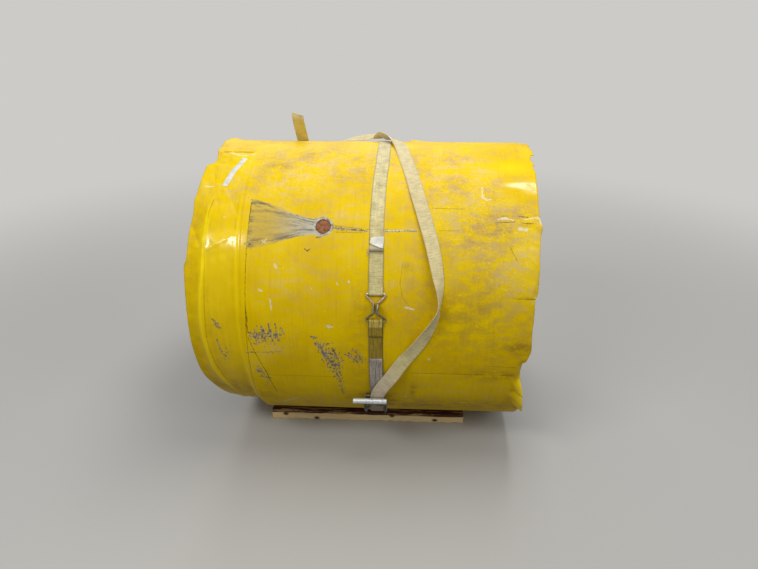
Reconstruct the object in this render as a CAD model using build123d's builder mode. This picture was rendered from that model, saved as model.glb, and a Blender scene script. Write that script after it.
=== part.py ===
"""A slit steel coil lying on its side in a timber cradle, in a painted sheet wrap, tied round its girth
with a ratchet strap. Millimetres, +Z up. +X runs along the coil's axis, and -Y is the front.
The origin is on the floor, under the axis, at the middle of the cradle.
An angle on the drum is measured from its top towards the front, so the front is at 90 and the floor at 180.
"""
import os
from math import acos, asin, cos, degrees, radians, sin, sqrt

from build123d import *

os.makedirs("parts", exist_ok=True)

# Steel coil
coil_width = 914.4
coil_diameter = 1080.0
bore_diameter = 609.6
coil_end_to_middle = 379.9

# Painted sheet wrapped round the coil
wrap_wall = 1.2
left_overhang = 199.0
right_overhang = 52.0
mouth_shrink = 17.0
dent_angle = 102.5
dent_depth = 50.0
dent_length = 124.0

# Timber cradle
runner_length = 803.0
runner_depth = 95.0
runner_height = 43.0
cradle_depth = 476.0
board_width = 89.0
board_spacing = 290.0
board_clearance = 2.4
notch_margin = 5.0

# Webbing
strap_width = 48.0
strap_thickness = 2.4
strap_x = 54.0
sewn_start = 58.0
hem_length = 58.0
tail_steps = 3

# Hooks of bent wire
hook_wire = 8.0
hook_half_width = 30.0
hook_shoulder = 9.0
shank_half_gap = 7.0
hook_pitch = 11.0
hook_bend = 9.0
hook_corner = 4.5
hook_middle = 76.4
hook_reach = 64.0
hook_bite = 18.1
hook_tip = 22.0

# Ratchet buckle
spool_angle = 126.0
spool_lift = 20.0
spool_diameter = 17.4
spool_slot = 3.2
spool_end = 1.0
bolt_angle = 117.0
bolt_lift = 11.0
bolt_diameter = 9.0
bolt_head = 2.0
frame_inner_width = 62.0
ratchet_shift = -5.0
plate_thickness = 3.0
frame_lobe = 16.0
frame_toe = 8.0
wheel_radius = 18.5
wheel_root = 15.5
wheel_teeth = 12
tooth_sink = 1.0
wheel_thickness = 3.4
arm_lobe = 14.0
arm_toe = 7.0
grip_angle = 116.0
grip_lift = 38.0
grip_radius = 10.0
grip_left = 36.0
sewn_end = 96.2
strip_length = 20.0
lever_start = 52.0
lever_length = 17.0
lever_lip = 10.0

# Labels
label_length = 152.0
label_width = 20.0
label_thickness = 0.4
label_angle = 24.0
label_inset = 76.0
label_tilt = 17.0
tag_length = 36.0
tag_width = 42.0

# Clearances
gap = 0.3
turning_gap = 0.5

# Sizes that follow from those above
coil_radius = coil_diameter / 2
wrap_inner = coil_radius + gap
wrap_radius = wrap_inner + wrap_wall
left_end = -coil_end_to_middle
inner_edge = cradle_depth / 2 - runner_depth
axis_height = runner_height + sqrt((wrap_radius + gap) ** 2 - inner_edge**2)
webbing_over = gap + strap_thickness
board_thickness = axis_height - wrap_radius - webbing_over - board_clearance
ratchet_x = strap_x + ratchet_shift
bar_lift = gap + strap_thickness + gap + hook_wire / 2
bar_to_middle = hook_reach - hook_bite
half_turn = asin(bar_to_middle / (wrap_radius + bar_lift))
bar_height = (wrap_radius + bar_lift) * cos(half_turn) - wrap_radius
upper_bar_angle = hook_middle - degrees(half_turn)
lower_bar_angle = hook_middle + degrees(half_turn)


def on_drum(angle, lift=0.0):
    """Y and Z of a point at an angle on the drum, lifted off the wrap."""
    radius = wrap_radius + lift
    return (-radius * sin(radians(angle)), axis_height + radius * cos(radians(angle)))


def drum_plane(angle, x, lift=0.0):
    """The plane that touches the drum at an angle, with its x along the axis and its z outwards."""
    y, z = on_drum(angle, lift)
    return Plane(origin=(x, y, z), x_dir=(1, 0, 0), z_dir=(0, -sin(radians(angle)), cos(radians(angle))))


def band(start, end, lift, thickness):
    """A sector of a ring round the drum, from one angle to another."""
    with BuildSketch() as sector:
        with BuildLine():
            CenterArc((0, axis_height), wrap_radius + lift, 90 + start, end - start)
            Line(on_drum(end, lift), on_drum(end, lift + thickness))
            CenterArc((0, axis_height), wrap_radius + lift + thickness, 90 + start, end - start)
            Line(on_drum(start, lift + thickness), on_drum(start, lift))
        make_face()
    return sector.sketch


def loop_round(bar_angle, lift, bar_radius, neck_angle):
    """Doubled webbing that opens out from a neck and goes round a bar."""
    with BuildSketch() as loop:
        with BuildLine():
            CenterArc(on_drum(bar_angle, lift), bar_radius + gap + strap_thickness, 0, 360)
            Line(on_drum(neck_angle, gap), on_drum(neck_angle, gap + 2 * strap_thickness))
        make_hull()
        with Locations(on_drum(bar_angle, lift)):
            Circle(bar_radius + gap, mode=Mode.SUBTRACT)
    return loop.sketch


# Steel coil, one turned solid with its bore
with BuildPart() as steel_coil:
    with BuildSketch(Plane.YZ.offset(left_end)):
        with Locations((0, axis_height)):
            Circle(coil_radius)
            Circle(bore_diameter / 2, mode=Mode.SUBTRACT)
    extrude(amount=coil_width)

# Wrap: tight round the coil, a little proud of its right end with a dent in that edge, and drawn in
# past its left end, where the mouth keeps the height of the drum's top
mouth_plane = Plane.YZ.offset(left_end - left_overhang)
mouth_radius = wrap_radius - mouth_shrink


def overhang(growth):
    """The solid inside the wrap's left overhang, grown by a distance."""
    with BuildPart() as cone:
        with BuildSketch(Plane.YZ.offset(left_end)):
            with Locations((0, axis_height)):
                Circle(wrap_radius + growth)
        with BuildSketch(mouth_plane):
            with Locations((0, axis_height + mouth_shrink)):
                Circle(mouth_radius + growth)
        loft()
    return cone.part


with BuildPart() as outer_wrap:
    with BuildSketch(Plane.YZ.offset(left_end)):
        with Locations((0, axis_height)):
            Circle(wrap_radius)
            Circle(wrap_inner, mode=Mode.SUBTRACT)
    extrude(amount=coil_width + right_overhang)
    add(overhang(0))
    add(overhang(-wrap_wall), mode=Mode.SUBTRACT)
    with BuildSketch(drum_plane(dent_angle, left_end + coil_width + right_overhang, -dent_depth)):
        Ellipse(dent_depth, dent_length / 2)
    extrude(amount=2 * dent_depth, mode=Mode.SUBTRACT)


# Runners, each with a dent where the strap passes under the drum
def runner(side):
    """A timber along the axis, on the front (-1) or the back (+1) of the cradle."""
    with BuildPart() as timber:
        with BuildSketch(Plane.XY):
            with Locations((0, side * (cradle_depth - runner_depth) / 2)):
                Rectangle(runner_length, runner_depth)
        extrude(amount=runner_height)
        with BuildSketch(Plane.YZ.offset(strap_x)):
            with Locations((0, axis_height)):
                Circle(wrap_radius + webbing_over + gap)
        extrude(amount=strap_width / 2 + notch_margin, both=True, mode=Mode.SUBTRACT)
    return timber.part


front_runner = runner(-1)
rear_runner = runner(1)


def cross_board(place):
    """A board on the floor between the runners: the left (-1), middle (0) or right (+1) one."""
    with BuildPart() as board:
        with BuildSketch(Plane.XY):
            with Locations((place * board_spacing, 0)):
                Rectangle(board_width, 2 * inner_edge)
        extrude(amount=board_thickness)
    return board.part


left_cross_board = cross_board(-1)
middle_cross_board = cross_board(0)
right_cross_board = cross_board(1)

# Long strap: a sewn loop at the upper hook, once round the drum, onto the ratchet's spool
wound_radius = spool_diameter / 2 + gap + strap_thickness
run_radius = wrap_radius + gap + strap_thickness / 2
wound_middle = wound_radius + strap_thickness / 2
leave = degrees(acos((run_radius + wound_middle) / (wrap_radius + spool_lift)))
leave_angle = spool_angle + leave
neck = 2.0
hem_angle = degrees(hem_length / wrap_radius)
spool_y, spool_z = on_drum(spool_angle, spool_lift)


def towards_drum(distance):
    """A point beside the spool, on the side of the drum, square to the strap that comes to it."""
    return (
        spool_y + distance * sin(radians(leave_angle)),
        spool_z - distance * cos(radians(leave_angle)),
    )


# Route of the loose tail: angle on the drum, x from the coil's left end, how far its lower edge is
# off the wrap, and the roll of the webbing about its own line
tail_route = [
    (126.0, 434, 30.2, 0),
    (123.8, 434, 28.6, 0),
    (121.0, 434, 22.2, 0),
    (117.0, 436, 19.4, 0),
    (113.6, 444, 16.0, 0),
    (110.0, 460, 9.0, 0),
    (105.0, 486, 6.0, 5),
    (99.0, 519, 3.0, 12),
    (92.5, 562, 1.5, 20),
    (86.0, 600, 1.5, 32),
    (80.5, 626, 1.5, 55),
    (76.0, 640, 1.5, 78),
    (71.0, 642, 1.5, 62),
    (65.0, 634, 1.5, 36),
    (57.0, 619, 1.5, 18),
    (47.0, 595, 1.5, 8),
    (36.0, 567, 1.5, 4),
    (25.0, 543, 1.5, 0),
    (14.0, 520, 1.5, 0),
    (4.0, 500, 3.0, 6),
    (-4.0, 470, 6.0, 24),
    (-10.0, 425, 8.0, 52),
    (-14.0, 380, 6.0, 66),
    (-19.0, 330, 3.0, 55),
    (-27.0, 275, 1.5, 35),
    (-38.0, 222, 1.5, 20),
    (-50.0, 182, 1.5, 28),
    (-60.0, 150, 1.5, 60),
    (-64.0, 122, 1.5, 80),
    (-60.0, 100, 1.5, 60),
    (-52.0, 92, 1.5, 25),
    (-43.0, 96, 1.5, 5),
    (-34.0, 101, 8.0, 0),
    (-25.0, 105, 25.0, 0),
    (-17.0, 107, 52.0, 0),
    (-10.5, 107, 85.0, 0),
    (-7.0, 104, 120.0, 0),
]


def between(before, start, end, after, share):
    """A value on the smooth curve through four even steps, between the second and the third."""
    bend = 2 * before - 5 * start + 4 * end - after
    swing = 3 * (start - end) + after - before
    return start + share * (end - before + share * (bend + share * swing)) / 2


def smooth_route(route, steps):
    """The route with each of its stretches divided into steps, on a smooth curve."""
    padded = route[:1] + route + route[-1:]
    stations = [
        tuple(between(*four, step / steps) for four in zip(*padded[i : i + 4]))
        for i in range(len(route) - 1)
        for step in range(steps)
    ]
    return stations + route[-1:]


def route_point(station):
    """Where the middle of the webbing is at a station of the route."""
    angle, x, spare, roll = station
    lift = spare + (strap_width * abs(sin(radians(roll))) + strap_thickness * cos(radians(roll))) / 2
    y, z = on_drum(angle, lift)
    return Vector(left_end + x, y, z)


def webbing_plane(before, here, after):
    """The plane of the webbing's section at one station, with its x across the webbing."""
    along = (route_point(after) - route_point(before)).normalized()
    angle = radians(here[0])
    across = along.cross(Vector(0, -sin(angle), cos(angle))).normalized()
    rolled = across.rotate(Axis((0, 0, 0), along), here[3])
    return Plane(origin=route_point(here), x_dir=rolled, z_dir=along)


with BuildPart() as long_strap:
    with BuildSketch(Plane.YZ.offset(strap_x)):
        add(band(leave_angle - 360, upper_bar_angle - neck, gap, strap_thickness))
        add(band(sewn_start, upper_bar_angle - neck, webbing_over, strap_thickness))
        add(loop_round(upper_bar_angle, bar_lift, hook_wire / 2, upper_bar_angle - neck))
        with BuildLine():
            Polyline(
                on_drum(leave_angle, gap),
                on_drum(leave_angle, webbing_over),
                towards_drum(wound_middle - strap_thickness / 2),
                towards_drum(wound_middle + strap_thickness / 2),
                close=True,
            )
        make_face()
        with Locations((spool_y, spool_z)):
            Circle(wound_radius + strap_thickness)
            Circle(spool_diameter / 2 + gap, mode=Mode.SUBTRACT)
    extrude(amount=strap_width / 2, both=True)
    stations = smooth_route(tail_route, tail_steps)
    for before, here, after in zip(stations[:1] + stations, stations, stations[1:] + stations[-1:]):
        with BuildSketch(webbing_plane(before, here, after)):
            Rectangle(strap_width, strap_thickness)
    loft(ruled=True)

# Short strap: sewn loops at the lower hook and at the ratchet's bolt
with BuildPart() as short_strap:
    with BuildSketch(Plane.YZ.offset(strap_x)):
        add(band(lower_bar_angle + neck, bolt_angle - neck, gap, strap_thickness))
        add(band(lower_bar_angle + neck, lower_bar_angle + hem_angle, webbing_over, strap_thickness))
        add(band(sewn_end, bolt_angle - neck, webbing_over, strap_thickness))
        add(loop_round(lower_bar_angle, bar_lift, hook_wire / 2, lower_bar_angle + neck))
        add(loop_round(bolt_angle, bolt_lift, bolt_diameter / 2, bolt_angle - neck))
    extrude(amount=strap_width / 2, both=True)

# Hooks, each one bent wire: a bar, two legs that draw together, and two points that curl over
def hook(way, shank_height, tip_height):
    """A double hook whose bar is above (+1) or below (-1) the place where the two hooks meet."""
    bar_y = way * bar_to_middle
    bend_y = bar_y - way * (hook_reach - hook_wire / 2)
    tip_y = bend_y + way * hook_tip
    leg_y = bar_y - way * hook_reach / 2
    side = [
        (shank_half_gap, tip_y, tip_height),
        (shank_half_gap, bend_y, tip_height),
        (shank_half_gap, bend_y, shank_height),
        (shank_half_gap, leg_y, shank_height),
        (hook_half_width, bar_y - way * hook_shoulder, bar_height),
        (hook_half_width, bar_y, bar_height),
    ]
    points = side + [(-x, y, z) for x, y, z in reversed(side)]
    plane = drum_plane(hook_middle, strap_x)
    bends = [hook_bend, hook_bend, hook_bend, hook_bend, hook_corner]
    with BuildPart() as wire:
        with BuildLine(plane) as path:
            FilletPolyline(*points, radius=bends + bends[::-1])
        with BuildSketch(Plane(origin=path.line @ 0, z_dir=path.line % 0)):
            Circle(hook_wire / 2)
        sweep(path=path.line)
    return wire.part


upper_hook = hook(1, bar_height, bar_height + 2 * hook_pitch)
lower_hook = hook(-1, bar_height + 3 * hook_pitch, bar_height + hook_pitch)

# Ratchet: the frame's two side plates, joined by a strip between the spool and the bolt
bolt_y, bolt_z = on_drum(bolt_angle, bolt_lift)
grip_y, grip_z = on_drum(grip_angle, grip_lift)
wheel_inner = frame_inner_width / 2 + plate_thickness + turning_gap
arm_inner = wheel_inner + wheel_thickness + turning_gap
arm_outer = arm_inner + plate_thickness


def plate(inner, side, near, far, holes):
    """A side plate round two centres, each with its own rounding, with its holes."""
    with BuildPart() as cheek:
        with BuildSketch(Plane.YZ.offset(ratchet_x + side * inner)):
            with BuildLine():
                CenterArc(near[0], near[1], 0, 360)
                CenterArc(far[0], far[1], 0, 360)
            make_hull()
            for centre, radius in holes:
                with Locations(centre):
                    Circle(radius, mode=Mode.SUBTRACT)
        extrude(amount=side * plate_thickness)
    return cheek.part


spool_centre = (spool_y, spool_z)
bolt_centre = (bolt_y, bolt_z)
grip_centre = (grip_y, grip_z)
frame_holes = [(spool_centre, spool_diameter / 2 + gap), (bolt_centre, bolt_diameter / 2 + gap)]
with BuildPart() as ratchet_frame:
    for side in (-1, 1):
        add(plate(frame_inner_width / 2, side, (spool_centre, frame_lobe), (bolt_centre, frame_toe),
                  frame_holes))
    with BuildSketch(drum_plane((spool_angle + bolt_angle) / 2, ratchet_x, webbing_over + gap)):
        Rectangle(frame_inner_width + plate_thickness, strip_length)
    extrude(amount=plate_thickness)

# Handle: two arms, and a grip that runs out past the left one
with BuildPart() as ratchet_handle:
    for side in (-1, 1):
        add(plate(arm_inner, side, (spool_centre, arm_lobe), (grip_centre, arm_toe),
                  [(spool_centre, spool_diameter / 2 + gap)]))
    with BuildSketch(Plane.YZ.offset(ratchet_x - arm_outer - grip_left)):
        with Locations(grip_centre):
            Circle(grip_radius)
    extrude(amount=2 * arm_outer + grip_left)

# Release lever: a plate between the arms, with a lip for the fingers turned up towards the grip
handle_line = Vector(0, grip_y - spool_y, grip_z - spool_z).normalized()
lever_plane = Plane(origin=(ratchet_x, spool_y, spool_z), x_dir=handle_line, z_dir=(1, 0, 0))
with BuildPart() as release_lever:
    with BuildSketch(lever_plane):
        with BuildLine():
            FilletPolyline(
                (lever_start, 0),
                (lever_start + lever_length, 0),
                (lever_start + lever_length, lever_lip),
                radius=plate_thickness,
            )
        trace(line_width=plate_thickness)
    extrude(amount=arm_inner - gap, both=True)

# Spool: a slotted bar with a toothed wheel on each side
with BuildPart() as ratchet_spool:
    with BuildSketch(Plane.YZ.offset(ratchet_x)):
        with Locations(spool_centre):
            Circle(spool_diameter / 2)
    extrude(amount=arm_outer + spool_end, both=True)
    with BuildSketch(Plane.YZ.offset(ratchet_x)):
        with Locations(Location((spool_y, spool_z, 0), (0, 0, spool_angle))):
            Rectangle(2 * spool_diameter, spool_slot)
    extrude(amount=frame_inner_width / 2, both=True, mode=Mode.SUBTRACT)
    for side in (-1, 1):
        with BuildSketch(Plane.YZ.offset(ratchet_x + side * wheel_inner)):
            with Locations(spool_centre):
                Circle(wheel_root)
                with PolarLocations(wheel_root - tooth_sink, wheel_teeth):
                    RegularPolygon(wheel_radius - wheel_root + tooth_sink, 3)
        extrude(amount=side * wheel_thickness)

with BuildPart() as strap_bolt:
    with BuildSketch(Plane.YZ.offset(ratchet_x)):
        with Locations(bolt_centre):
            Circle(bolt_diameter / 2)
    extrude(amount=frame_inner_width / 2 + plate_thickness + bolt_head, both=True)

# Label stuck on the overhang of the wrap
with BuildPart() as label_strip:
    add(overhang(gap + label_thickness))
    add(overhang(gap), mode=Mode.SUBTRACT)
    label_plane = drum_plane(label_angle, left_end - label_inset, -mouth_shrink).rotated((0, 0, label_tilt))
    with BuildSketch(label_plane):
        Rectangle(label_width, label_length)
    extrude(amount=2 * mouth_shrink, mode=Mode.INTERSECT)

# Scrap of a tag, sewn in at the end of the doubled webbing
tag_angle = degrees(tag_length / wrap_radius)
with BuildPart() as strap_tag:
    with BuildSketch(Plane.YZ.offset(strap_x)):
        add(band(sewn_start - tag_angle, sewn_start - degrees(gap / wrap_radius), webbing_over + gap,
                 label_thickness))
    extrude(amount=tag_width / 2, both=True)

pieces = {
    "steel_coil": steel_coil.part,
    "outer_wrap": outer_wrap.part,
    "front_runner": front_runner,
    "rear_runner": rear_runner,
    "left_cross_board": left_cross_board,
    "middle_cross_board": middle_cross_board,
    "right_cross_board": right_cross_board,
    "long_strap": long_strap.part,
    "short_strap": short_strap.part,
    "upper_hook": upper_hook,
    "lower_hook": lower_hook,
    "ratchet_frame": ratchet_frame.part,
    "ratchet_handle": ratchet_handle.part,
    "release_lever": release_lever.part,
    "ratchet_spool": ratchet_spool.part,
    "strap_bolt": strap_bolt.part,
    "strap_tag": strap_tag.part,
    "label_strip": label_strip.part,
}
for name, piece in pieces.items():
    piece.label = name
    export_step(piece, f"parts/{name}.step")
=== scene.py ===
import math

import bpy
import numpy as np
from mathutils import Matrix, Vector


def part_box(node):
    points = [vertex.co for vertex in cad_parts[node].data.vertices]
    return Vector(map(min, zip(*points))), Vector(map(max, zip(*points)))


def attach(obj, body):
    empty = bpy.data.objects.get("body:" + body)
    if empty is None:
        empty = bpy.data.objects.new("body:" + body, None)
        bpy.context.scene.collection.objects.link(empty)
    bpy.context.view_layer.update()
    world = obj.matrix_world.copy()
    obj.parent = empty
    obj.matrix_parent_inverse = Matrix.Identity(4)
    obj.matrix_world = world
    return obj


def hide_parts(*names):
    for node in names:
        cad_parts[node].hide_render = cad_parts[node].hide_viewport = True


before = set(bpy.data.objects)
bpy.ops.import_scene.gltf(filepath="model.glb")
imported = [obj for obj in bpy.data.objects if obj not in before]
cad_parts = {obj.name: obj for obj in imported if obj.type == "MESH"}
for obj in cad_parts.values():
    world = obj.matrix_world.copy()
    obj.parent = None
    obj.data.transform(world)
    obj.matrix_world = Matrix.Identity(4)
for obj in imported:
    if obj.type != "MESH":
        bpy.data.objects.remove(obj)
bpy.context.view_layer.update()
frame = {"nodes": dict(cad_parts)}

# The coil's frame, in metres. Places on the wrap are given as x in mm from the steel's left end, and as an
# angle in degrees from the top of the drum towards the front, where the floor is at 180.
MM = 0.001
COIL_LOW, COIL_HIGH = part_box("steel_coil")
WRAP_LOW, WRAP_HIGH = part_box("outer_wrap")
LEFT_END = COIL_LOW.x
COIL_WIDTH = (COIL_HIGH.x - COIL_LOW.x) / MM
AXIS_HEIGHT = (COIL_LOW.z + COIL_HIGH.z) / 2
COIL_RADIUS = (COIL_HIGH.z - COIL_LOW.z) / 2 / MM
DRUM_RADIUS = (WRAP_HIGH.z - WRAP_LOW.z) / 2 / MM
BORE_RADIUS = 304.8
DEGREE = math.radians(DRUM_RADIUS)

# Gap between pieces that rest on each other, in mm
GAP = 0.3

# Webbing and the bars and bolt that it goes round
STRAP_WIDTH = 48
STRAP_THICKNESS = 2.4
STRAP_X = 434
UPPER_BAR, LOWER_BAR, BAR_LIFT, BAR_RADIUS = 71.6, 81.2, 7, 4
BOLT_ANGLE, BOLT_LIFT, BOLT_RADIUS = 117, 11, 4.5
SPOOL_ANGLE, SPOOL_LIFT, SPOOL_RADIUS = 126, 20, 8.7
GRIP_ANGLE, GRIP_LIFT = 116, 38
SEWN_END, LEAVE_ANGLE = 55.7, 134.3

# How far the middle of the webbing is off the drum in one layer and in two, and off the middle of the bar,
# the bolt and the spool
UNDER_LAYER, OVER_LAYER = 0.4 + STRAP_THICKNESS / 2, 0.7 + 1.5 * STRAP_THICKNESS
HOOK_TURN, BOLT_TURN = BAR_RADIUS + UNDER_LAYER, BOLT_RADIUS + UNDER_LAYER
WINDING = SPOOL_RADIUS + GAP + 1.5 * STRAP_THICKNESS

# Camera
CAMERA_PLACE = (0.150, -2.268, 1.609)
CAMERA_YAW, CAMERA_PITCH, CAMERA_ROLL = 2.80, 25.55, -0.12
PHOTO_WIDTH, FOCAL_PIXELS, SENSOR = 758, 600, 36


def radial(angle):
    """Unit vectors that point out of the drum at angles in degrees."""
    turn = np.radians(angle)
    return np.stack([np.zeros_like(turn), -np.sin(turn), np.cos(turn)], -1)


def on_drum(x, angle, lift):
    """Points in metres, from x in mm from the steel's left end, angle in degrees and mm off the drum."""
    x, angle, lift = np.broadcast_arrays(*[np.asarray(v, float) for v in (x, angle, lift)])
    points = radial(angle) * ((DRUM_RADIUS + lift) * MM)[..., None]
    points[..., 0] = LEFT_END + x * MM
    points[..., 2] += AXIS_HEIGHT
    return points


def follow(table, at):
    """Straight-line values of a table of (place, value) at some places."""
    places, values = zip(*table)
    return np.interp(at, places, values)


def ease(value):
    """0 below 0, 1 above 1, and smooth between."""
    value = np.clip(value, 0, 1)
    return value * value * (3 - 2 * value)


def window(value, low, high, edge):
    """1 between two limits and 0 outside them, with a smooth edge."""
    return ease((value - low) / edge + 0.5) * ease((high - value) / edge + 0.5)


def ripple(x, y, size, seed, waves=14):
    """Smooth uneven waves between about -1 and 1, with a typical size in the units of x and y."""
    draw = np.random.default_rng(seed)
    total = np.zeros(np.broadcast(x, y).shape)
    for _ in range(waves):
        way, pace, start = draw.uniform(0, 2 * np.pi, 3) * (1, 1 / np.pi, 1)
        pace = (0.4 + pace) / size * np.pi
        total += np.sin(pace * (x * np.cos(way) + y * np.sin(way)) + start)
    return total / math.sqrt(waves) / 1.2


def hill(x, angle, centre_x, centre_angle, reach_x, reach_angle):
    """A round bump of height 1 on the drum."""
    return bell(np.hypot((x - centre_x) / reach_x, (angle - centre_angle) / reach_angle))


def crease(x, angle, start, end, width):
    """A sharp fold of height 1 along a straight line on the drum."""
    ax, ay, bx, by = start[0], start[1] * DEGREE, end[0], end[1] * DEGREE
    px, py, dx, dy = x - ax, angle * DEGREE - ay, bx - ax, by - ay
    share = np.clip((px * dx + py * dy) / (dx * dx + dy * dy), 0, 1)
    return np.exp(-np.hypot(px - share * dx, py - share * dy) / width)


def bell(value):
    """1 at 0, and less and less on both sides."""
    return np.exp(-value ** 2)


def band(first, second):
    """Quads between rows of point numbers."""
    return np.stack([first[:-1], first[1:], second[1:], second[:-1]], -1).reshape(-1, 4).tolist()


def place_camera():
    """The camera, at the place and angle from which the photograph was taken."""
    camera = bpy.data.cameras.new("camera")
    camera.sensor_fit = "HORIZONTAL"
    camera.sensor_width = SENSOR
    camera.lens = FOCAL_PIXELS * SENSOR / PHOTO_WIDTH
    yaw, pitch, roll = (math.radians(v) for v in (CAMERA_YAW, CAMERA_PITCH, CAMERA_ROLL))
    seat = bpy.data.objects.new("camera", camera)
    bpy.context.scene.collection.objects.link(seat)
    tilt = Matrix.Rotation(math.pi / 2 - pitch, 4, "X") @ Matrix.Rotation(roll, 4, "Z")
    seat.matrix_world = Matrix.Translation(CAMERA_PLACE) @ Matrix.Rotation(yaw, 4, "Z") @ tilt
    bpy.context.scene.camera = seat


def colour(red, green, blue):
    """A shader colour from the red, green and blue of a screen, 0 to 255."""
    linear = [v / 255 / 12.92 if v <= 10 else ((v / 255 + 0.055) / 1.055) ** 2.4 for v in (red, green, blue)]
    return (*linear, 1)


class Value:
    """What one output of a node gives. Sums, products and so on of values are nodes of their own."""

    def __init__(self, nodes, socket):
        self.nodes = nodes
        self.socket = socket

    def __add__(self, other):
        return self.nodes.math("ADD", self, other)

    def __sub__(self, other):
        return self.nodes.math("SUBTRACT", self, other)

    def __rsub__(self, other):
        return self.nodes.math("SUBTRACT", other, self)

    def __mul__(self, other):
        return self.nodes.math("MULTIPLY", self, other)

    def __truediv__(self, other):
        return self.nodes.math("DIVIDE", self, other)

    def __abs__(self):
        return self.nodes.math("ABSOLUTE", self)

    def clamped(self):
        """The same value, which its node now keeps between 0 and 1."""
        self.socket.node.use_clamp = True
        return self


class Nodes:
    """Builds a node tree, whose inputs are Values, numbers, vectors, or a screen's red, green and blue."""

    def __init__(self, tree):
        self.tree = tree

    def node(self, kind, inputs=None, **settings):
        made = self.tree.nodes.new(kind)
        for key, value in settings.items():
            setattr(made, key, value)
        for key, value in (inputs or {}).items():
            self.put(made.inputs[key], value)
        return made

    def value(self, kind, inputs=None, output=0, **settings):
        return Value(self, self.node(kind, inputs, **settings).outputs[output])

    def values(self, kind, inputs=None):
        return [Value(self, socket) for socket in self.node(kind, inputs).outputs]

    def put(self, socket, value):
        if isinstance(value, Value):
            self.tree.links.new(value.socket, socket)
        else:
            socket.default_value = colour(*value) if socket.type == "RGBA" else value

    def math(self, operation, *values):
        return self.value("ShaderNodeMath", dict(enumerate(values)), operation=operation)

    def most(self, first, *others):
        for other in others:
            first = self.math("MAXIMUM", first, other)
        return first

    def vector(self, operation, *values):
        output = "Value" if operation in ("LENGTH", "DOT_PRODUCT", "DISTANCE") else "Vector"
        return self.value("ShaderNodeVectorMath", dict(enumerate(values)), output, operation=operation)

    def scaled(self, vector, factor):
        return self.value("ShaderNodeVectorMath", {0: vector, "Scale": factor}, operation="SCALE")

    def attribute(self, name):
        return self.value("ShaderNodeAttribute", output="Vector", attribute_name=name)

    def spot(self):
        """The place on the object itself, in metres."""
        return self.value("ShaderNodeTexCoord", output="Object")

    def noise(self, vector, scale, detail=3, roughness=0.55, stretch=None, output=0):
        """Uneven patches. A stretch under 1 along an axis draws them out that way."""
        if stretch:
            vector = self.vector("MULTIPLY", vector, stretch)
        inputs = {"Vector": vector, "Scale": scale, "Detail": detail, "Roughness": roughness}
        return self.value("ShaderNodeTexNoise", inputs, output)

    def ramp(self, value, low, high, out_low=0, out_high=1):
        inputs = {0: value, 1: low, 2: high, 3: out_low, 4: out_high}
        return self.value("ShaderNodeMapRange", inputs, interpolation_type="SMOOTHSTEP")

    def mix(self, share, first, second):
        return self.value("ShaderNodeMix", {0: share, 6: first, 7: second}, 2, data_type="RGBA")

    def split(self, vector):
        return self.values("ShaderNodeSeparateXYZ", {0: vector})

    def join(self, x, y, z):
        return self.value("ShaderNodeCombineXYZ", {0: x, 1: y, 2: z})

    def seen(self):
        """1 to the camera, in reflections and through glass, and 0 for light on its way between things."""
        rays = self.node("ShaderNodeLightPath").outputs
        return self.most(*[Value(self, rays[name]) for name in ("Is Camera Ray", "Is Glossy Ray",
                                                                "Is Transmission Ray")])


class Finish(Nodes):
    """A material with one Principled shader, whose colour is laid on in coats."""

    def __init__(self, name, **constants):
        self.material = bpy.data.materials.new(name)
        self.material.use_nodes = True
        super().__init__(self.material.node_tree)
        self.tone = None
        for key, value in constants.items():
            self.set(key.replace("_", " "), value)

    def set(self, name, value):
        self.put(self.tree.nodes["Principled BSDF"].inputs[name], value)

    def coat(self, share, tone):
        """Lays a colour over the colours so far, as thickly as share says, from 0 to 1."""
        self.tone = self.mix(share, self.tone, tone)

    def close(self, roughness, *reliefs):
        """Sets colour and roughness, and one bump after another from (height, mm for a height of 1)."""
        self.set("Base Color", self.tone)
        self.set("Roughness", roughness)
        inputs = {}
        for height, size in reliefs:
            inputs.update({"Height": height, "Distance": size * MM, "Strength": 1})
            inputs["Normal"] = self.value("ShaderNodeBump", inputs)
        if reliefs:
            self.set("Normal", inputs["Normal"])
        return self.material


def stroke_group():
    """A node group: 1 on a line between two places on the sheet, and 0 at twice its width away from it."""
    tree = bpy.data.node_groups.new("stroke", "ShaderNodeTree")
    for name, kind in (("Place", "Vector"), ("Start", "Vector"), ("End", "Vector"), ("First", "Float"),
                       ("Last", "Float")):
        tree.interface.new_socket(name, in_out="INPUT", socket_type="NodeSocket" + kind)
    tree.interface.new_socket("Mask", in_out="OUTPUT", socket_type="NodeSocketFloat")
    n = Nodes(tree)
    place, start, end, first, last = n.values("NodeGroupInput")[:5]
    way = n.vector("SUBTRACT", end, start)
    here = n.vector("SUBTRACT", place, start)
    share = (n.vector("DOT_PRODUCT", here, way) / n.vector("DOT_PRODUCT", way, way)).clamped()
    off = n.vector("LENGTH", n.vector("SUBTRACT", here, n.scaled(way, share)))
    width = n.math("MULTIPLY_ADD", share, last - first, first)
    n.put(n.node("NodeGroupOutput").inputs["Mask"], 1 - off / width * 0.5)
    return tree


def strokes(n, group, place, marks, region):
    """The strongest of many strokes, from (x, angle) to (x, angle), with half widths at both ends in mm."""
    total = 0
    for x1, angle1, x2, angle2, first, last in marks:
        if max(x1, x2) < region[0] - MARK_REACH or min(x1, x2) > region[1] + MARK_REACH:
            continue
        inputs = {"Place": place, "Start": (x1, angle1 * DEGREE, 0), "End": (x2, angle2 * DEGREE, 0),
                  "First": first, "Last": last}
        total = n.most(total, n.value("ShaderNodeGroup", inputs, node_tree=group))
    return total


# Stretches of the wrap from left to right, in mm, each with a material that holds its marks, and how far
# outside a stretch a mark may lie
REGIONS = [(-300, 5), (5, 150), (150, 330), (330, 1000)]
MARK_REACH = 30

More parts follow.
